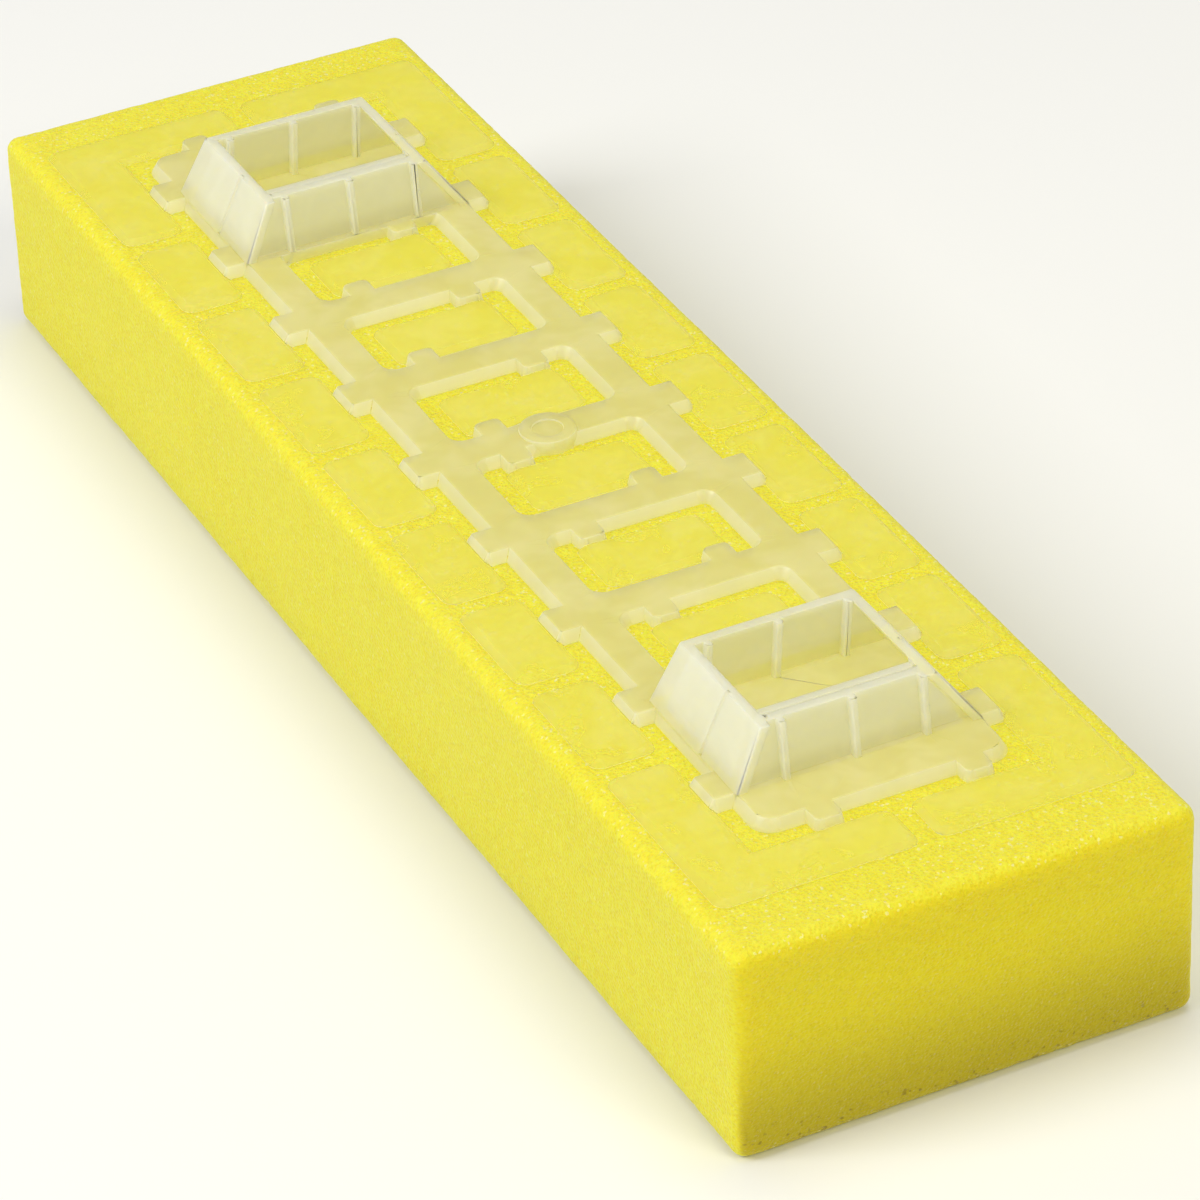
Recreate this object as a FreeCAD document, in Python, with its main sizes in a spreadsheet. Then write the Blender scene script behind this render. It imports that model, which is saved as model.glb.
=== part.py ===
import FreeCAD, Part
import math
import os

import Sketcher

# Foam pad of a grout float.  A foam block carries a one-piece moulded
# backing plate: a thick ladder with thin leaves inside it and around it.  Each
# leaf is glued to the foam.  Two hollow bosses on the ladder snap into the
# float's handle base.
#
# X runs across the pad, Y along it, Z up.  The origin is the middle of the
# foam's flat working face.

SIZES = (
    # foam block
    ("foam_width", 83.0),
    ("foam_length", 297.0),
    ("foam_height", 40.0),
    ("foam_corner", 3.0),
    ("foam_edge", 2.5),
    # glue film under each leaf, set back from the leaf's outline
    ("bond_thickness", 0.3),
    ("bond_setback", 0.5),
    ("bond_corner", 1.9),
    # ladder: two rails, nine bars and two end plates
    ("ladder_width", 46.2),
    ("ladder_length", 245.4),
    ("ladder_thickness", 2.2),
    ("ladder_slope", 1.3),
    ("ladder_corner", 4.0),
    ("bar_pitch", 27.2),
    ("bar_width", 9.4),
    ("bar_reach", 54.0),
    ("bar_corner", 1.6),
    ("window_width", 29.4),
    ("window_length", 17.8),
    ("window_corner", 1.4),
    # leaves
    ("leaf_thickness", 0.9),
    ("leaf_slope", 1.3),
    ("leaf_corner", 2.4),
    ("leaf_gap", 3.0),
    ("centre_leaf_width", 23.4),
    ("centre_leaf_length", 14.2),
    ("side_leaf_width", 11.9),
    ("side_leaf_offset", 31.7),
    ("end_leaf_depth", 11.3),
    ("end_leaf_offset", 130.85),
    # bridges from the ladder to the leaves
    ("bridge_width", 5.7),
    ("bridge_length", 6.4),
    ("bridge_slope", 0.5),
    ("bridge_offset", 8.1),
    ("end_bridge_left", 12.0),
    ("end_bridge_right", 15.0),
    # bosses
    ("boss_shift", 2.9),
    ("boss_height", 10.4),
    ("boss_width", 44.4),
    ("boss_length", 30.8),
    ("boss_top_width", 31.6),
    ("boss_top_length", 28.0),
    ("boss_lean", 1.3),
    ("boss_corner", 0.8),
    ("skin", 1.8),
    ("floor_thickness", 1.2),
    ("wall_thickness", 1.8),
    ("rib_width", 1.2),
    ("rib_depth", 1.5),
    ("rib_pitch", 12.7),
    ("rib_shift", 0.4),
    ("snap_gap", 1.5),
    ("tongue_thickness", 1.5),
    ("tongue_drop", 0.9),
    ("seam_width", 0.9),
    ("seam_depth", 0.5),
    ("seam_offset", 2.4),
    # gate mark on the middle bar
    ("gate_diameter", 10.0),
    ("gate_offset", 0.6),
    ("gate_height", 0.5),
    ("dimple_diameter", 5.6),
    ("dimple_depth", 0.4),
)

SHEET = "sizes"
BAR_COUNT = 9
WINDOW_COUNT = 6
SIDE_LEAF_COUNT = 7
QUARTER_TURN = math.pi / 2

FOAM_TOP = "foam_height"
BASE = "foam_height + bond_thickness"
LADDER_TOP = f"{BASE} + ladder_thickness"
SIDES = (("left", "-"), ("right", ""))
ENDS = (("near", "-"), ("far", ""))


def sized(expression):
    """Expression with each size's name turned into a reference to the sheet."""
    names = {name for name, _ in SIZES}
    text = ""
    word = ""
    for char in f"{expression} ":
        if char.isalnum() or char == "_":
            word += char
            continue
        text += f"{SHEET}.{word}" if word in names else word
        text += char
        word = ""
    return text.strip()


def make_sheet(doc):
    sheet = doc.addObject("Spreadsheet::Sheet", SHEET)
    for row, (name, value) in enumerate(SIZES, start=1):
        sheet.set(f"A{row}", name)
        sheet.set(f"B{row}", str(value))
        sheet.setAlias(f"B{row}", name)
    doc.recompute()


def worth(obj, expression):
    """Value of an expression in millimetres, for a sketch's first geometry."""
    result = obj.evalExpression(sized(expression))
    return float(getattr(result, "Value", result))


def new_body(doc, name):
    body = doc.addObject("PartDesign::Body", name)
    body.Label = name
    return body


def datum(body, role):
    """The body's own origin plane or axis with this role."""
    return next(item for item in body.Origin.OriginFeatures if item.Role == role)


def level_sketch(body, name, centre):
    """Empty sketch parallel to the XY plane with its origin at `centre`."""
    sketch = body.newObject("Sketcher::SketchObject", name)
    sketch.AttachmentSupport = [(datum(body, "XY_Plane"), "")]
    sketch.MapMode = "FlatFace"
    for axis, expression in zip("xyz", centre):
        sketch.setExpression(f"AttachmentOffset.Base.{axis}", sized(expression))
    return sketch


def bind(sketch, constraint, name, expression):
    index = sketch.addConstraint(constraint)
    sketch.renameConstraint(index, name)
    sketch.setExpression(f"Constraints.{name}", sized(expression))


def rounded_rectangle(body, name, centre, outline):
    """Sketch of a rectangle about `centre`; outline is (width, length, corner)."""
    sketch = level_sketch(body, name, centre)
    width, length, corner = outline
    half_x = worth(sketch, width) / 2
    half_y = worth(sketch, length) / 2
    radius = worth(sketch, corner)
    in_x = half_x - radius
    in_y = half_y - radius
    arc_centres = ((in_x, in_y), (-in_x, in_y), (-in_x, -in_y), (in_x, -in_y))
    line_ends = (
        ((in_x, half_y), (-in_x, half_y)),
        ((-half_x, in_y), (-half_x, -in_y)),
        ((-in_x, -half_y), (in_x, -half_y)),
        ((half_x, -in_y), (half_x, in_y)),
    )
    up = FreeCAD.Vector(0, 0, 1)
    for turn, (middle, ends) in enumerate(zip(arc_centres, line_ends)):
        circle = Part.Circle(FreeCAD.Vector(*middle, 0), up, radius)
        start = turn * QUARTER_TURN
        sketch.addGeometry(Part.ArcOfCircle(circle, start, start + QUARTER_TURN))
        first, last = (FreeCAD.Vector(*point, 0) for point in ends)
        sketch.addGeometry(Part.LineSegment(first, last))
    for arc in range(0, 8, 2):
        line = arc + 1
        sketch.addConstraint(Sketcher.Constraint("Tangent", arc, 2, line, 1))
        sketch.addConstraint(Sketcher.Constraint("Tangent", line, 2, (arc + 2) % 8, 1))
        if arc:
            sketch.addConstraint(Sketcher.Constraint("Equal", 0, arc))
    sketch.addConstraint(Sketcher.Constraint("Horizontal", 1))
    sketch.addConstraint(Sketcher.Constraint("Vertical", 3))
    sketch.addConstraint(Sketcher.Constraint("Symmetric", 0, 3, 4, 3, -1, 1))
    bind(sketch, Sketcher.Constraint("Radius", 0, radius), "corner", corner)
    bind(sketch, Sketcher.Constraint("DistanceX", 3, 1, 7, 2, 2 * half_x), "width", width)
    bind(sketch, Sketcher.Constraint("DistanceY", 5, 1, 1, 2, 2 * half_y), "length", length)
    return sketch


def round_spot(body, name, centre, diameter):
    sketch = level_sketch(body, name, centre)
    width = worth(sketch, diameter)
    circle = Part.Circle(FreeCAD.Vector(0, 0, 0), FreeCAD.Vector(0, 0, 1), width / 2)
    sketch.addGeometry(circle)
    sketch.addConstraint(Sketcher.Constraint("Coincident", 0, 3, -1, 1))
    bind(sketch, Sketcher.Constraint("Diameter", 0, width), "diameter", diameter)
    return sketch


def settle(body, feature):
    """Makes the feature the body's tip and recomputes, or says what failed."""
    body.Tip = feature
    body.Document.recompute()
    if "Invalid" in feature.State or feature.Shape.isNull():
        raise RuntimeError(f"{body.Label}: {feature.Label} failed")
    return feature


def pad(body, name, sketch, height, slope=None):
    """Pad whose sides lean inwards by `slope` over its height."""
    feature = body.newObject("PartDesign::Pad", name)
    feature.Profile = sketch
    feature.setExpression("Length", sized(height))
    if slope:
        feature.setExpression("TaperAngle", sized(f"-atan({slope} / {height})"))
    return settle(body, feature)


def slab(body, name, centre, outline, height, slope=None):
    sketch = rounded_rectangle(body, f"{name}_outline", centre, outline)
    return pad(body, name, sketch, height, slope)


def frustum(body, name, levels, cut=False):
    """Loft between two level outlines, each given as (centre, outline)."""
    foot, top = (
        rounded_rectangle(body, f"{name}_{end}", *level)
        for end, level in zip(("foot", "top"), levels)
    )
    kind = "PartDesign::SubtractiveLoft" if cut else "PartDesign::AdditiveLoft"
    feature = body.newObject(kind, name)
    feature.Profile = foot
    feature.Sections = [top]
    feature.Ruled = True
    return settle(body, feature)


def row_of(body, name, feature, count):
    """Repeats a feature along Y at the bars' pitch, from the near end."""
    row = body.newObject("PartDesign::LinearPattern", name)
    row.Originals = [feature]
    row.Direction = (datum(body, "Y_Axis"), [""])
    row.setExpression("Length", sized(f"bar_pitch * {count - 1}"))
    row.Occurrences = count
    settle(body, row)


def row_start(count):
    return f"-bar_pitch * {(count - 1) / 2}"


def level_edges(shape):
    """Names of the edges that lie wholly in the lowest or the highest plane."""
    box = shape.BoundBox
    names = []
    for index, edge in enumerate(shape.Edges, start=1):
        span = edge.BoundBox
        low = math.isclose(span.ZMax, box.ZMin, abs_tol=1e-6)
        high = math.isclose(span.ZMin, box.ZMax, abs_tol=1e-6)
        if low or high:
            names.append(f"Edge{index}")
    return names


def make_foam(doc):
    body = new_body(doc, "foam_pad")
    outline = ("foam_width", "foam_length", "foam_corner")
    block = slab(body, "foam_block", ("0", "0", "0"), outline, "foam_height")
    rounding = body.newObject("PartDesign::Fillet", "foam_rounding")
    rounding.Base = (block, level_edges(block.Shape))
    rounding.setExpression("Radius", sized("foam_edge"))
    doc.recompute()
    return body


def add_ladder(body):
    outline = ("ladder_width", "ladder_length", "ladder_corner")
    slab(body, "ladder", ("0", "0", BASE), outline, "ladder_thickness", "ladder_slope")
    centre = ("0", row_start(BAR_COUNT), BASE)
    outline = ("bar_reach", "bar_width", "bar_corner")
    bar = slab(body, "bar", centre, outline, "ladder_thickness", "ladder_slope")
    row_of(body, "bars", bar, BAR_COUNT)
    middle = row_start(WINDOW_COUNT)
    foot = ("window_width", "window_length", "window_corner")
    top = tuple(f"{name} + {times} * ladder_slope" for name, times in zip(foot, (2, 2, 1)))
    levels = ((("0", middle, BASE), foot), (("0", middle, LADDER_TOP), top))
    window = frustum(body, "window", levels, cut=True)
    row_of(body, "windows", window, WINDOW_COUNT)


def cut_seats(body):
    """Room in the ladder for each boss, which brings its own floor."""
    outline = ("boss_width", "boss_length", "boss_corner")
    for end, sign in ENDS:
        middle = boss_middle(sign)
        levels = ((("0", middle, BASE), outline), (("0", middle, LADDER_TOP), outline))
        frustum(body, f"{end}_seat", levels, cut=True)


def add_bridge(body, name, x, y):
    outline = ("bridge_width", "bridge_length", "bar_corner")
    return slab(body, name, (x, y, BASE), outline, "ladder_thickness", "bridge_slope")


def add_bridges(body):
    """Each window's leaf hangs on two bridges, on opposite sides of the window.

    The windows in the far half have their far bridge on the right, and those in
    the near half have it on the left.
    """
    half = WINDOW_COUNT // 2
    starts = (("near_half", row_start(WINDOW_COUNT), "-", ""), ("far_half", "bar_pitch / 2", "", "-"))
    for name, start, far_side, near_side in starts:
        far_edge = f"{start} + window_length / 2"
        near_edge = f"{start} - window_length / 2"
        far = add_bridge(body, f"{name}_far_bridge", f"{far_side}bridge_offset", far_edge)
        row_of(body, f"{name}_far_bridges", far, half)
        near = add_bridge(body, f"{name}_near_bridge", f"{near_side}bridge_offset", near_edge)
        row_of(body, f"{name}_near_bridges", near, half)
    for end, sign in ENDS:
        edge = f"{sign}ladder_length / 2"
        add_bridge(body, f"{end}_end_left_bridge", "-end_bridge_left", edge)
        add_bridge(body, f"{end}_end_right_bridge", "end_bridge_right", edge)


def centre_outline():
    return ("centre_leaf_width", "centre_leaf_length", "leaf_corner")


def side_outline():
    return ("side_leaf_width", "bar_pitch - leaf_gap", "leaf_corner")


def corner_slabs(side_sign, end_sign):
    """The two overlapping rectangles of an L-shaped corner leaf."""
    outer_x = "(side_leaf_offset + side_leaf_width / 2)"
    outer_y = "(end_leaf_offset + end_leaf_depth / 2)"
    inner_y = f"(bar_pitch * {SIDE_LEAF_COUNT / 2} + leaf_gap / 2)"
    inner_x = "(leaf_gap / 2)"
    along = (
        (f"{side_sign}side_leaf_offset", f"{end_sign}({outer_y} + {inner_y}) / 2"),
        ("side_leaf_width", f"{outer_y} - {inner_y}", "leaf_corner"),
    )
    across = (
        (f"{side_sign}({outer_x} + {inner_x}) / 2", f"{end_sign}end_leaf_offset"),
        (f"{outer_x} - {inner_x}", "end_leaf_depth", "leaf_corner"),
    )
    return along, across


def add_leaves(body):
    height = "leaf_thickness"
    slope = "leaf_slope"
    centre = ("0", row_start(WINDOW_COUNT), BASE)
    leaf = slab(body, "centre_leaf", centre, centre_outline(), height, slope)
    row_of(body, "centre_leaves", leaf, WINDOW_COUNT)
    for side, sign in SIDES:
        centre = (f"{sign}side_leaf_offset", row_start(SIDE_LEAF_COUNT), BASE)
        leaf = slab(body, f"{side}_leaf", centre, side_outline(), height, slope)
        row_of(body, f"{side}_leaves", leaf, SIDE_LEAF_COUNT)
        for end, end_sign in ENDS:
            for arm, (place, outline) in zip(("arm", "foot"), corner_slabs(sign, end_sign)):
                slab(body, f"{end}_{side}_{arm}", (*place, BASE), outline, height, slope)


def boss_middle(sign):
    return f"({sign}bar_pitch * {SIDE_LEAF_COUNT / 2} - boss_shift)"


def add_boss(body, end, sign):
    """Hollow boss with sloping sides, its top a little to the left of its foot.

    Both cross walls carry ribs on their near faces.
    """
    middle = boss_middle(sign)
    boss_top = f"{LADDER_TOP} + boss_height"
    floor = f"{BASE} + floor_thickness"
    foot_half = "boss_length / 2"
    top_half = "boss_top_length / 2"

    def block(name, low, high, place, wide, cut=False):
        """Frustum of the boss between two heights.

        `place` turns half of the boss's length into the block's (near, far)
        distances from the boss's middle, `wide` gives its (centre, width) at the
        low end and at the high end.
        """
        levels = []
        for height, half, (x, width) in zip((low, high), (foot_half, top_half), wide):
            near, far = place(half)
            centre = (x, f"{middle} + ({near} + {far}) / 2", height)
            levels.append((centre, (width, f"({far}) - ({near})", "boss_corner / 2")))
        return frustum(body, f"{end}_{name}", levels, cut)

    outside = (("0", "boss_width"), ("-boss_lean", "boss_top_width"))
    inside = (("0", "boss_width - 2 * skin"), ("-boss_lean", "boss_top_width - 2 * skin"))
    wall_start = "rib_depth"
    slot_start = f"{wall_start} + wall_thickness"
    tongue_start = f"{slot_start} + snap_gap"
    well_start = f"{tongue_start} + tongue_thickness"

    outline = ("boss_width", "boss_length", "boss_corner")
    slab(body, f"{end}_plinth", ("0", middle, BASE), outline, "ladder_thickness")
    block("boss", LADDER_TOP, boss_top, lambda half: (f"-{half}", half), outside)
    block(
        "front_recess",
        LADDER_TOP,
        boss_top,
        lambda half: (f"-{half} - rib_depth", f"-{half} + {wall_start}"),
        inside,
        cut=True,
    )
    block(
        "snap_slot",
        BASE,
        boss_top,
        lambda half: (f"-{half} + {slot_start}", f"-{half} + {tongue_start}"),
        inside,
        cut=True,
    )
    block(
        "well",
        floor,
        boss_top,
        lambda half: (f"-{half} + {well_start}", f"{half} - wall_thickness"),
        inside,
        cut=True,
    )
    block(
        "tongue_trim",
        f"{boss_top} - tongue_drop",
        boss_top,
        lambda half: (f"-{top_half} + {slot_start}", f"-{top_half} + {well_start} + snap_gap"),
        (inside[1], inside[1]),
        cut=True,
    )
    for name, x in (("left", "-rib_pitch"), ("middle", "0"), ("right", "rib_pitch")):
        width = ((f"{x} - rib_shift", "rib_width"),) * 2
        block(
            f"front_{name}_rib",
            LADDER_TOP,
            boss_top,
            lambda half: (f"-{half}", f"-{half} + {wall_start} + wall_thickness / 2"),
            width,
        )
        block(
            f"back_{name}_rib",
            floor,
            boss_top,
            lambda half: (f"{half} - wall_thickness - rib_depth", f"{half} - wall_thickness / 2"),
            width,
        )
    for side, side_sign in SIDES:
        foot = (f"{side_sign}boss_width / 2", "2 * seam_depth")
        top = (f"{side_sign}boss_top_width / 2 - boss_lean", "2 * seam_depth")
        block(
            f"{side}_seam",
            LADDER_TOP,
            boss_top,
            lambda half: ("-seam_offset - seam_width / 2", "-seam_offset + seam_width / 2"),
            (foot, top),
            cut=True,
        )


def add_gate_mark(body):
    """Round pad with a shallow dimple where the plastic entered the mould."""
    disc = round_spot(body, "gate_outline", ("0", "-gate_offset", BASE), "gate_diameter")
    gate = pad(body, "gate", disc, "ladder_thickness + gate_height")
    centre = ("0", "-gate_offset", f"{LADDER_TOP} + gate_height")
    dimple = body.newObject("PartDesign::Pocket", "dimple")
    dimple.Profile = round_spot(body, "dimple_outline", centre, "dimple_diameter")
    dimple.setExpression("Length", sized("dimple_depth"))
    settle(body, dimple)
    if dimple.Shape.Volume >= gate.Shape.Volume:
        raise RuntimeError("the dimple cuts nothing")


def make_plate(doc):
    """One moulding, drawn as a ladder, a set of leaves and two bosses."""
    ladder = new_body(doc, "ladder_body")
    add_ladder(ladder)
    cut_seats(ladder)
    add_bridges(ladder)
    add_gate_mark(ladder)
    leaves = new_body(doc, "leaves_body")
    add_leaves(leaves)
    regions = [ladder, leaves]
    for end, sign in ENDS:
        boss = new_body(doc, f"{end}_boss_body")
        add_boss(boss, end, sign)
        regions.append(boss)
    plate = doc.addObject("Part::MultiFuse", "backing_plate")
    plate.Shapes = regions
    plate.Refine = True
    doc.recompute()
    return plate


def shrunk(outline):
    width, length, _ = outline
    return (f"{width} - 2 * bond_setback", f"{length} - 2 * bond_setback", "bond_corner")


def make_bond(doc, name, places):
    """Film of glue under one leaf, from one or two rounded rectangles."""
    body = new_body(doc, name)
    for index, ((x, y), outline) in enumerate(places, start=1):
        centre = (x, y, FOAM_TOP)
        slab(body, f"{name}_film_{index}", centre, shrunk(outline), "bond_thickness")
    return body


def make_bonds(doc):
    bonds = []
    for index in range(WINDOW_COUNT):
        y = f"{row_start(WINDOW_COUNT)} + bar_pitch * {index}"
        places = ((("0", y), centre_outline()),)
        bonds.append(make_bond(doc, f"bond_centre_{index + 1}", places))
    for side, sign in SIDES:
        for index in range(SIDE_LEAF_COUNT):
            y = f"{row_start(SIDE_LEAF_COUNT)} + bar_pitch * {index}"
            places = (((f"{sign}side_leaf_offset", y), side_outline()),)
            bonds.append(make_bond(doc, f"bond_{side}_{index + 1}", places))
        for end, end_sign in ENDS:
            places = corner_slabs(sign, end_sign)
            bonds.append(make_bond(doc, f"bond_{end}_{side}_corner", places))
    return bonds


def check(doc, parts):
    for obj in doc.Objects:
        if "Invalid" in obj.State or "Error" in obj.State:
            raise RuntimeError(f"{obj.Label} failed: {obj.State}")
    for part in parts:
        shape = part.Shape
        if shape.isNull() or not shape.isValid() or len(shape.Solids) != 1:
            raise RuntimeError(f"{part.Label} isn't one valid solid")


def main():
    doc = FreeCAD.newDocument("grout_float_pad")
    make_sheet(doc)
    parts = [make_foam(doc), make_plate(doc), *make_bonds(doc)]
    doc.recompute()
    check(doc, parts)
    os.makedirs("parts", exist_ok=True)
    for part in parts:
        part.Shape.exportStep(os.path.join("parts", f"{part.Label}.step"))
        box = part.Shape.BoundBox
        size = " x ".join(f"{length:.1f}" for length in (box.XLength, box.YLength, box.ZLength))
        print(f"{part.Label}: {size} mm, {part.Shape.Volume / 1000:.2f} cm3")


main()
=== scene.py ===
"""Looks of the foam pad of a grout float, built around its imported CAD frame."""
import math

import bmesh
import bpy
from mathutils import Matrix, Vector, noise
from mathutils.bvhtree import BVHTree


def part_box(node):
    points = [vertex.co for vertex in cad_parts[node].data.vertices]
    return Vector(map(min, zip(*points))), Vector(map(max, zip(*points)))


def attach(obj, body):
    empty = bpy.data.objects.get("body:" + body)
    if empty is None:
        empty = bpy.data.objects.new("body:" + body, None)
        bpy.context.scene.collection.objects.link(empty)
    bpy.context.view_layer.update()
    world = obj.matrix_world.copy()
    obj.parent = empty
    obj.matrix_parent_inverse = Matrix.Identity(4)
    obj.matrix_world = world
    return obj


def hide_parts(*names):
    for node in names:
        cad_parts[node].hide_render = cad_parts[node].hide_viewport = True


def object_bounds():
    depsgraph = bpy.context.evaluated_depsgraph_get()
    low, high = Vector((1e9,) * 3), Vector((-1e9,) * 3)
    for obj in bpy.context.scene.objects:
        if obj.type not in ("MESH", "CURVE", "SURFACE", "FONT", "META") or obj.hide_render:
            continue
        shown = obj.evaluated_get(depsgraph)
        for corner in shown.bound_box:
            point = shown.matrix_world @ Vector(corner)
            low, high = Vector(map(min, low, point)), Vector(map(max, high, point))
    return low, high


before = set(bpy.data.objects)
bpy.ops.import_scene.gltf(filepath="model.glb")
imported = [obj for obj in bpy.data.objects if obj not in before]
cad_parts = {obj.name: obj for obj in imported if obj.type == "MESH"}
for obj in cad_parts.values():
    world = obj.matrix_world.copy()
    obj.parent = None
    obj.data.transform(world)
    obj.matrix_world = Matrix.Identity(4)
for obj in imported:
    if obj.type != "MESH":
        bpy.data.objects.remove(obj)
cad_low, cad_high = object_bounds()

MM = 0.001
TO_MM = 1000.0
LEAF_THICKNESS = 0.9 * MM
LADDER_THICKNESS = 2.2 * MM
foam_low, foam_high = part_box("foam_pad")
plate_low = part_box("backing_plate")[0]
FOAM_TOP = foam_high.z
LEAF_TOP = plate_low.z + LEAF_THICKNESS
LADDER_TOP = plate_low.z + LADDER_THICKNESS


# ---------------------------------------------------------------- node helpers

class Material:
    """A Principled material with short calls for the nodes it needs.

    Its colour and roughness are the sockets' own values, under whatever is linked to them later.
    """

    def __init__(self, name, colour, roughness):
        self.data = bpy.data.materials.new(name)
        self.data.use_nodes = True
        self.tree = self.data.node_tree
        self.shader = self.tree.nodes["Principled BSDF"]
        self.place = self.add("ShaderNodeTexCoord").outputs["Object"]
        self.shader.inputs["Base Color"].default_value = (*colour, 1)
        self.shader.inputs["Roughness"].default_value = roughness

    def add(self, kind):
        return self.tree.nodes.new(kind)

    def join(self, source, target):
        if isinstance(source, bpy.types.NodeSocket):
            self.tree.links.new(source, target)
        else:
            target.default_value = source

    def set(self, name, value):
        self.join(value, self.shader.inputs[name])

    def noise(self, size, detail=2.0, roughness=0.5, distortion=0.0):
        """Noise whose features are about size metres across."""
        node = self.add("ShaderNodeTexNoise")
        self.join(self.place, node.inputs["Vector"])
        node.inputs["Scale"].default_value = 1 / size
        node.inputs["Detail"].default_value = detail
        node.inputs["Roughness"].default_value = roughness
        node.inputs["Distortion"].default_value = distortion
        return node.outputs["Fac"]

    def cells(self, size, output="Distance"):
        """Voronoi cells about size metres across."""
        node = self.add("ShaderNodeTexVoronoi")
        self.join(self.place, node.inputs["Vector"])
        node.inputs["Scale"].default_value = 1 / size
        return node.outputs[output]

    def height(self):
        """Height above the floor, in millimetres."""
        split = self.add("ShaderNodeSeparateXYZ")
        self.join(self.place, split.inputs[0])
        return self.math("MULTIPLY", split.outputs["Z"], TO_MM)

    def facing(self, axis):
        """1 where the surface faces along the axis either way, 0 where it faces across it."""
        split = self.add("ShaderNodeSeparateXYZ")
        self.join(self.add("ShaderNodeTexCoord").outputs["Normal"], split.inputs[0])
        return self.math("ABSOLUTE", split.outputs[axis])

    def steepness(self):
        """0 on level surfaces, 1 on walls."""
        return self.math("SUBTRACT", 1.0, self.facing("Z"))

    def facing_ends(self):
        """1 on surfaces that face along the pad's length, 0 elsewhere."""
        return self.band(self.facing("Y"), 0.5, 0.95)

    def math(self, operation, first, second=0.0):
        node = self.add("ShaderNodeMath")
        node.operation = operation
        self.join(first, node.inputs[0])
        self.join(second, node.inputs[1])
        return node.outputs[0]

    def band(self, value, low, high, to_low=0.0, to_high=1.0):
        """Value spread smoothly from low..high to to_low..to_high."""
        node = self.add("ShaderNodeMapRange")
        node.interpolation_type = "SMOOTHSTEP"
        self.join(value, node.inputs["Value"])
        for name, number in (("From Min", low), ("From Max", high), ("To Min", to_low), ("To Max", to_high)):
            self.join(number, node.inputs[name])
        return node.outputs["Result"]

    def mix(self, share, first, second):
        """First colour at share 0, second at share 1."""
        node = self.add("ShaderNodeMix")
        node.data_type = "RGBA"
        for socket, value in zip((node.inputs[0], node.inputs[6], node.inputs[7]), (share, first, second)):
            self.join((*value, 1) if isinstance(value, tuple) and len(value) == 3 else value, socket)
        return node.outputs[2]

    def bump(self, height, distance, strength=1.0, under=None):
        """A normal raised by height, on top of the bump under it."""
        node = self.add("ShaderNodeBump")
        node.inputs["Strength"].default_value = strength
        node.inputs["Distance"].default_value = distance
        self.join(height, node.inputs["Height"])
        if under is not None:
            self.join(under, node.inputs["Normal"])
        return node.outputs["Normal"]


# ------------------------------------------------------------------- materials

def foam_material():
    m = Material("yellow_foam", (0.86, 0.74, 0.03), 0.8)
    cell = m.cells(0.62 * MM)
    small = m.cells(0.34 * MM)
    mottle = m.noise(2.4 * MM, 3.0, 0.6)
    broad = m.noise(28 * MM, 2.0)
    colour = m.mix(m.band(cell, 0.15, 0.62), (0.77, 0.63, 0.005), (0.845, 0.785, 0.045))
    colour = m.mix(m.band(small, 0.1, 0.6, 0.0, 0.5), colour, (0.85, 0.795, 0.055))
    colour = m.mix(m.band(mottle, 0.35, 0.7, 0.0, 0.3), colour, (0.82, 0.66, 0.006))
    colour = m.mix(m.band(broad, 0.35, 0.7, 0.0, 0.2), colour, (0.845, 0.80, 0.09))
    ends = m.facing_ends()
    # Painted shade: surfaces facing along the pad's length are tinted a deeper golden, the way the ends look
    # where less light falls on them.
    colour = m.mix(m.math("MULTIPLY", ends, 0.6), colour, (0.86, 0.71, 0.004))
    # Painted shade: the ends darken towards the floor, strongest at the bottom and gone by 28 mm up.
    foot = m.math("MULTIPLY", ends, m.band(m.height(), 1.0, 28.0, 0.68, 0.0))
    colour = m.mix(foot, colour, (0.40, 0.32, 0.012))
    speck = m.math("MULTIPLY", ends, m.band(m.noise(1.4 * MM, 1.0), 0.62, 0.72))
    speck = m.math("MULTIPLY", speck, m.band(m.height(), 2.0, 8.0, 0.6, 0.0))
    colour = m.mix(speck, colour, (0.19, 0.12, 0.02))
    # Painted highlight: a few foam cells are lightened to pale glints, mostly on level faces; the same cells
    # are also made glossier.
    painted_glint = m.band(m.cells(0.42 * MM, output="Color"), 0.84, 0.88)
    level = m.band(m.steepness(), 0.3, 0.9, 0.5, 0.04)
    colour = m.mix(m.math("MULTIPLY", painted_glint, level), colour, (0.95, 0.93, 0.5))
    m.set("Base Color", colour)
    m.set("Roughness", m.band(painted_glint, 0.0, 1.0, 0.85, 0.3))
    m.set("Specular IOR Level", 0.3)
    m.set("Sheen Weight", 0.15)
    m.set("Sheen Roughness", 0.4)
    m.set("Subsurface Weight", 0.6)
    m.set("Subsurface Radius", (1.0, 0.75, 0.1))
    m.set("Subsurface Scale", 0.005)
    rough = m.bump(m.noise(1.1 * MM, 4.0, 0.65), 0.3 * MM, 0.8)
    pores = m.bump(cell, 0.34 * MM, 0.9, rough)
    m.set("Normal", m.bump(small, 0.1 * MM, 0.7, pores))
    return m.data


def let_light_in(m, seen, share):
    """Seen alpha for the eye, and a share of it for lamps and for light off other surfaces."""
    path = m.add("ShaderNodeLightPath")
    soft = m.math("MAXIMUM", path.outputs["Is Shadow Ray"], path.outputs["Is Diffuse Ray"])
    return m.band(soft, 0.0, 1.0, seen, m.math("MULTIPLY", seen, share))


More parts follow.
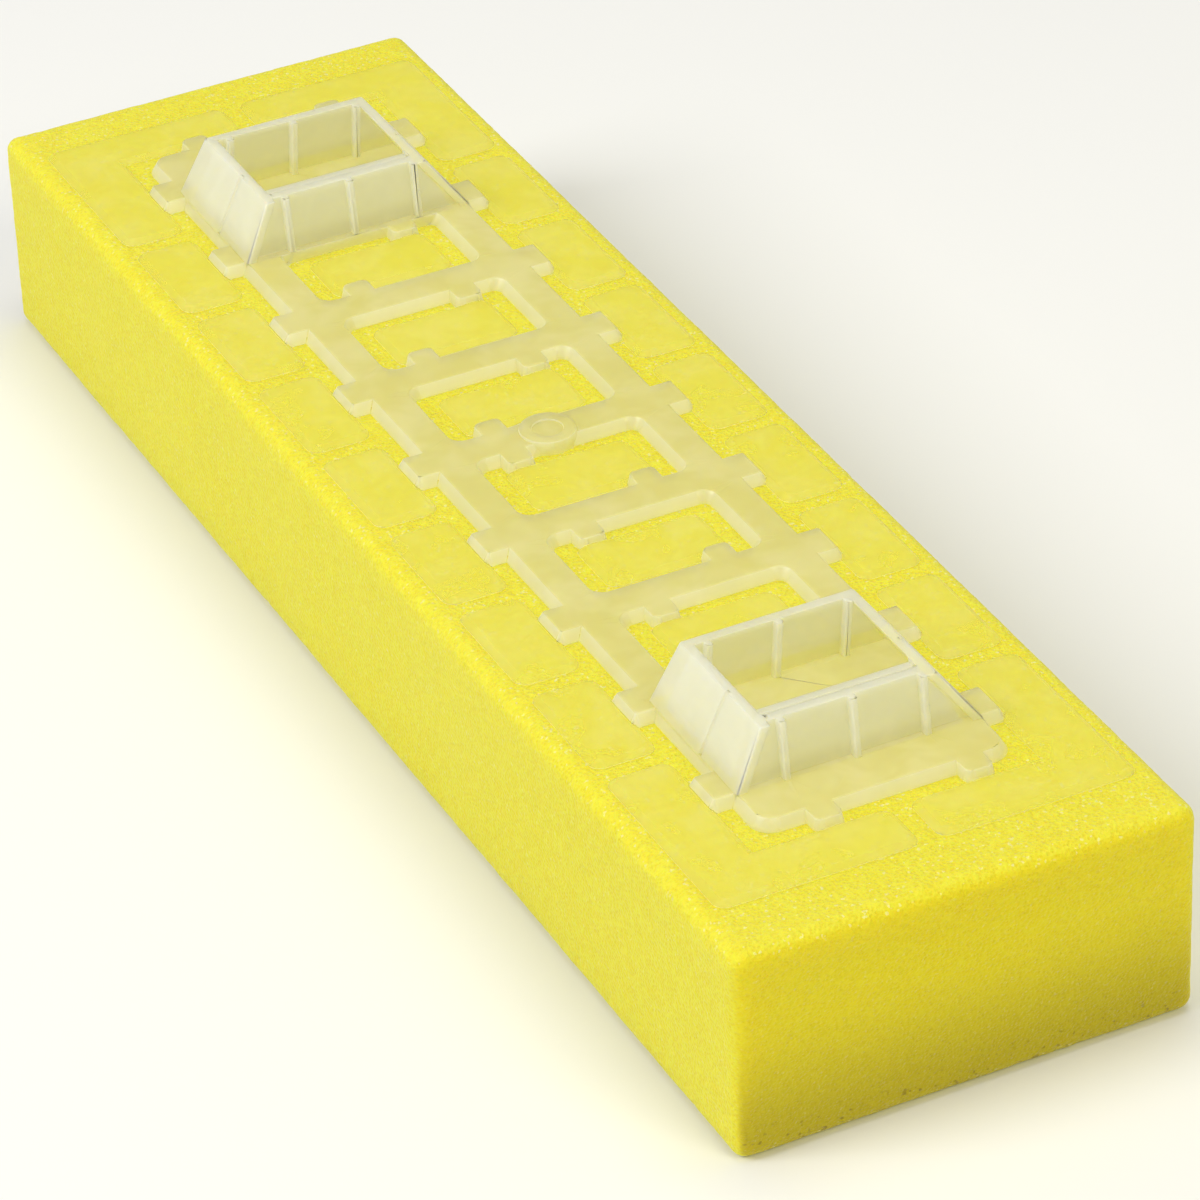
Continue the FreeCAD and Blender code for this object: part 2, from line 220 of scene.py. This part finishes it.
def plastic_material():
    m = Material("natural_plastic", (0.86, 0.82, 0.6), 0.24)
    height = m.height()
    wall = m.band(m.steepness(), 0.25, 0.45)
    thick = m.math("MAXIMUM", wall, m.band(height, LEAF_TOP * TO_MM + 0.05, LEAF_TOP * TO_MM + 0.2))
    raised = m.band(height, LADDER_TOP * TO_MM + 0.2, LADDER_TOP * TO_MM + 4.0)
    cloud = m.noise(9 * MM, 2.0, 0.5, 0.4)
    streak = m.noise(1.3 * MM, 2.0)
    colour = m.mix(thick, (0.82, 0.76, 0.10), (0.61, 0.575, 0.30))
    colour = m.mix(wall, colour, (0.68, 0.67, 0.53))
    colour = m.mix(raised, colour, (0.83, 0.82, 0.63))
    m.set("Base Color", m.mix(m.band(cloud, 0.3, 0.75, 0.0, 0.2), colour, (0.88, 0.86, 0.74)))
    body = m.band(thick, 0.0, 1.0, 0.2, 0.6)
    body = m.math("ADD", body, m.band(raised, 0.0, 1.0, 0.0, 0.08))
    body = m.math("ADD", body, m.band(cloud, 0.35, 0.75, -0.02, 0.03))
    body = m.math("ADD", body, m.math("MULTIPLY", wall, 0.07))
    edge = m.add("ShaderNodeLayerWeight")
    edge.inputs["Blend"].default_value = 0.35
    body = m.math("ADD", body, m.band(edge.outputs["Facing"], 0.3, 0.95, 0.0, 0.18))
    m.set("Alpha", let_light_in(m, m.math("MINIMUM", body, 0.93), 0.15))
    m.set("Roughness", m.band(cloud, 0.3, 0.7, 0.3, 0.4))
    m.set("Specular IOR Level", 0.75)
    m.set("IOR", 1.5)
    m.set("Subsurface Weight", 0.85)
    m.set("Subsurface Radius", (1.0, 0.9, 0.6))
    m.set("Subsurface Scale", 0.006)
    waves = m.bump(cloud, 0.03 * MM, 0.5)
    m.set("Normal", m.bump(streak, 0.02 * MM, 0.5, waves))
    return m.data


def glue_material():
    m = Material("clear_glue", (0.9, 0.78, 0.1), 0.1)
    cloud = m.noise(3.0 * MM, 2.0)
    bubble = m.band(m.cells(1.7 * MM), 0.06, 0.16, 1.0, 0.0)
    m.set("Base Color", m.mix(bubble, (0.85, 0.76, 0.05), (0.88, 0.84, 0.3)))
    seen = m.math("ADD", m.band(cloud, 0.3, 0.7, 0.1, 0.2), m.math("MULTIPLY", bubble, 0.15))
    m.set("Alpha", let_light_in(m, seen, 0.2))
    m.set("Roughness", 0.12)
    m.set("Specular IOR Level", 0.7)
    m.set("Normal", m.bump(cloud, 0.02 * MM, 0.5))
    return m.data


# ------------------------------------------------------------------ foam block

FOAM_STEP = 0.93 * MM
FOAM_ROUND = 2.7 * MM
SKIN_DIP = 0.13         # how far the foam lies under its ideal surface, in mm, and what varies it
GRAIN_DIP, GRAIN_SIZE = 0.075, 1.5 * MM
LUMP_DIP, LUMP_SIZE = 0.06, 6 * MM
SWAY_DIP, SWAY_SIZE = 0.22, 42 * MM
PORE_DIP, PORE_SPACING, PORE_RADIUS = 0.32, 4.2 * MM, 0.2


def shell_lattice(low, high, step):
    """Points and quads of a box's surface, on a grid of about the given step."""
    counts = [round((b - a) / step) for a, b in zip(low, high)]
    numbers = {}
    points = []

    def numbered(key):
        if key not in numbers:
            numbers[key] = len(points)
            points.append(Vector([a + (b - a) * k / n for a, b, k, n in zip(low, high, key, counts)]))
        return numbers[key]

    faces = []
    for axis in range(3):
        u, v = (axis + 1) % 3, (axis + 2) % 3
        for side in (0, counts[axis]):
            for i in range(counts[u]):
                for j in range(counts[v]):
                    corners = []
                    for di, dj in ((0, 0), (1, 0), (1, 1), (0, 1)):
                        key = [0, 0, 0]
                        key[axis], key[u], key[v] = side, i + di, j + dj
                        corners.append(numbered(tuple(key)))
                    faces.append(corners if side else corners[::-1])
    return points, faces


def foam_dip(point, out):
    """How far the cut foam lies below its ideal surface at a point, in metres."""
    grain = GRAIN_DIP * noise.noise(point / GRAIN_SIZE)
    lumps = LUMP_DIP * noise.noise(point / LUMP_SIZE)
    sway = SWAY_DIP * noise.noise(point / SWAY_SIZE) * (1 - max(out.z, 0.0))
    nearest = noise.voronoi(point / PORE_SPACING)[0][0]
    pore = PORE_DIP * max(0.0, 1 - nearest / PORE_RADIUS)
    return (SKIN_DIP + grain + lumps + max(0.0, sway) + pore) * MM


def make_foam(material):
    """The block, with rounded edges and an uneven cut surface."""
    points, faces = shell_lattice(foam_low, foam_high, FOAM_STEP)
    inner_low = foam_low + Vector((FOAM_ROUND,) * 3)
    inner_high = foam_high - Vector((FOAM_ROUND,) * 3)
    placed = []
    for point in points:
        core = Vector([min(max(p, a), b) for p, a, b in zip(point, inner_low, inner_high)])
        out = (point - core).normalized()
        surface = core + out * FOAM_ROUND
        placed.append(surface - out * foam_dip(surface, out))
    mesh = bpy.data.meshes.new("foam_block")
    mesh.from_pydata(placed, [], faces)
    mesh.polygons.foreach_set("use_smooth", [True] * len(mesh.polygons))
    mesh.materials.append(material)
    foam = bpy.data.objects.new("foam_block", mesh)
    bpy.context.scene.collection.objects.link(foam)
    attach(foam, "root")
    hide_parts("foam_pad")


# --------------------------------------------------------------- backing plate

EDGE_ROUND = 0.14 * MM
EDGE_ANGLE = math.radians(50)
SHARP_ANGLE = math.radians(30)
SAME_PLANE = math.radians(1)
FLAT_AREA = 1.5 * MM * MM
WELD = 0.02 * MM


def round_edges(piece):
    """Bevels a piece's edges, and lays back the few corners that the bevel throws off the surface.

    Large faces are shaded flat, so that the narrow strips beside them don't tint them.
    """
    sharp = piece.data
    surface = BVHTree.FromPolygons([vert.co for vert in sharp.vertices],
                                   [face.vertices[:] for face in sharp.polygons])
    bevel = piece.modifiers.new("soft_edges", "BEVEL")
    bevel.width = EDGE_ROUND
    bevel.segments = 2
    bevel.limit_method = "ANGLE"
    bevel.angle_limit = EDGE_ANGLE
    bevel.use_clamp_overlap = False
    rounded = bpy.data.meshes.new_from_object(piece.evaluated_get(bpy.context.evaluated_depsgraph_get()))
    for vert in rounded.vertices:
        nearest, _, _, distance = surface.find_nearest(vert.co)
        if distance > EDGE_ROUND:
            vert.co = nearest
    rounded.set_sharp_from_angle(angle=SHARP_ANGLE)
    for face in rounded.polygons:
        face.use_smooth = face.area < FLAT_AREA
    piece.modifiers.clear()
    piece.data = rounded


def make_plate(material):
    """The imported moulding, with the soft edges that moulded plastic has."""
    shape = bmesh.new()
    shape.from_mesh(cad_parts["backing_plate"].data)
    bmesh.ops.remove_doubles(shape, verts=shape.verts, dist=WELD)
    bmesh.ops.join_triangles(shape, faces=shape.faces, angle_face_threshold=SAME_PLANE,
                             angle_shape_threshold=math.pi)
    mesh = bpy.data.meshes.new("plate")
    shape.to_mesh(mesh)
    shape.free()
    mesh.materials.clear()
    mesh.materials.append(material)
    plate = bpy.data.objects.new("plate", mesh)
    bpy.context.scene.collection.objects.link(plate)
    round_edges(plate)
    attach(plate, "root")
    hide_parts("backing_plate")


# ------------------------------------------------------------------ glue films

GLUE_STEP = 0.55 * MM
GLUE_SINK = 0.25 * MM
BEAD_FOOT = 0.12 * MM
BEAD_LEAST, BEAD_SWELL = 0.25, 0.85     # in mm
WIDE_BEAD = 0.9 * MM
RING_SHARES = (1.0, 1.12, 0.7, -0.4)    # how far out each ring lies, as a share of the bead's reach


def outline_of(node):
    """The film's outline as points in order, seen from above, evenly spaced."""
    shape = bmesh.new()
    shape.from_mesh(node.data)
    bmesh.ops.remove_doubles(shape, verts=shape.verts, dist=WELD)
    bmesh.ops.dissolve_limit(shape, angle_limit=SAME_PLANE, verts=shape.verts, edges=shape.edges)
    top = max(shape.faces, key=lambda face: (round(face.normal.z, 2), face.calc_area()))
    corners = [vert.co.copy() for vert in top.verts]
    shape.free()
    points = []
    for start, end in zip(corners, corners[1:] + corners[:1]):
        pieces = max(1, round((end - start).length / GLUE_STEP))
        points += [start.lerp(end, i / pieces) for i in range(pieces)]
    return points


def bead_reach(point):
    """How far the squeezed-out glue reaches past the film's outline, in metres."""
    swell = noise.noise(point / (3.4 * MM)) + 0.5 * noise.noise(point / (1.3 * MM))
    return (BEAD_LEAST + BEAD_SWELL * max(0.0, swell)) * MM


def make_glue(node_name, material):
    """A film whose rim is an uneven bead, lofted through rings around the film's outline."""
    points = outline_of(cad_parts[node_name])
    film_low, film_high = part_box(node_name)
    foot = film_low.z - BEAD_FOOT
    top = film_high.z - 0.01 * MM
    shape = bmesh.new()
    rings = [[], [], [], []]
    for i, point in enumerate(points):
        along = (points[(i + 1) % len(points)] - points[i - 1]).normalized()
        out = Vector((along.y, -along.x, 0))
        reach = bead_reach(point)
        lift = min(1.0, reach / WIDE_BEAD)
        heights = (foot - GLUE_SINK, foot + 0.26 * MM, foot + (0.3 + 0.2 * lift) * MM, top)
        for ring, share, z in zip(rings, RING_SHARES, heights):
            spot = point + out * reach * share
            ring.append(shape.verts.new((spot.x, spot.y, z)))
    for lower, upper in zip(rings, rings[1:]):
        for i, vert in enumerate(lower):
            j = (i + 1) % len(lower)
            shape.faces.new((vert, lower[j], upper[j], upper[i]))
    shape.faces.new(rings[0][::-1])
    shape.faces.new(rings[-1])
    for face in shape.faces:
        face.smooth = len(face.verts) == 4
    bmesh.ops.recalc_face_normals(shape, faces=shape.faces)
    name = node_name.replace("bond", "glue")
    mesh = bpy.data.meshes.new(name)
    shape.to_mesh(mesh)
    shape.free()
    mesh.materials.append(material)
    glue = bpy.data.objects.new(name, mesh)
    bpy.context.scene.collection.objects.link(glue)
    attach(glue, "root")
    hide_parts(node_name)


# ------------------------------------------------------ camera, floor and light

AZIMUTH, ELEVATION, ROLL = -25.23, 33.38, -2.42
DISTANCE = 1071.6 * MM
SLIDE = Vector((-9.2, 27.5)) * MM
LENS, SENSOR = 186.5, 36.0


def make_camera():
    """The photo's view: an orbit round the middle of the foam's top, then a roll and a slide."""
    a, e, roll = (math.radians(angle) for angle in (AZIMUTH, ELEVATION, ROLL))
    back = Vector((math.sin(a) * math.cos(e), -math.cos(a) * math.cos(e), math.sin(e)))
    level = Vector((math.cos(a), math.sin(a), 0))
    upright = back.cross(level)
    right = level * math.cos(roll) + upright * math.sin(roll)
    up = back.cross(right)
    place = Vector((0, 0, FOAM_TOP)) + back * DISTANCE - right * SLIDE.x - up * SLIDE.y
    data = bpy.data.cameras.new("camera")
    data.lens = LENS
    data.sensor_width = SENSOR
    data.clip_start, data.clip_end = 0.05, 30
    camera = bpy.data.objects.new("camera", data)
    camera.matrix_world = Matrix.Translation(place) @ Matrix((right, up, back)).transposed().to_4x4()
    bpy.context.scene.collection.objects.link(camera)
    bpy.context.scene.camera = camera


def make_floor():
    m = Material("pale_floor", (0.9, 0.9, 0.89), 0.75)
    m.set("Base Color", m.mix(m.band(m.noise(0.4), 0.3, 0.7), (0.9, 0.9, 0.89), (0.88, 0.88, 0.87)))
    shape = bmesh.new()
    bmesh.ops.create_grid(shape, x_segments=8, y_segments=8, size=6)
    mesh = bpy.data.meshes.new("floor")
    shape.to_mesh(mesh)
    shape.free()
    mesh.materials.append(m.data)
    floor = bpy.data.objects.new("floor", mesh)
    floor.location.z = cad_low.z - 0.02 * MM
    bpy.context.scene.collection.objects.link(floor)


def make_lamp(name, place, size, power, colour=(1, 1, 1)):
    """A square area lamp aimed at the middle of the object."""
    data = bpy.data.lights.new(name, "AREA")
    data.size = size
    data.energy = power
    data.color = colour
    lamp = bpy.data.objects.new(name, data)
    lamp.location = place
    lamp.rotation_euler = (Vector((0, 0, FOAM_TOP / 2)) - lamp.location).to_track_quat("-Z", "Y").to_euler()
    bpy.context.scene.collection.objects.link(lamp)


def make_light():
    world = bpy.data.worlds.new("studio")
    world.use_nodes = True
    world.node_tree.nodes["Background"].inputs["Color"].default_value = (1, 1, 1, 1)
    world.node_tree.nodes["Background"].inputs["Strength"].default_value = 0.34
    bpy.context.scene.world = world
    make_lamp("key", Vector((-1.5, 0.1, 1.3)), 0.9, 20)
    make_lamp("top", Vector((0.2, 0.1, 2.1)), 1.2, 13)
    make_lamp("front", Vector((0.5, -1.7, 1.5)), 0.9, 16, (1, 0.94, 0.66))


bpy.context.scene.view_settings.view_transform = "Standard"
make_camera()
make_floor()
make_light()
make_foam(foam_material())
make_plate(plastic_material())
clear_glue = glue_material()
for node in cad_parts:
    if node.startswith("bond_"):
        make_glue(node, clear_glue)
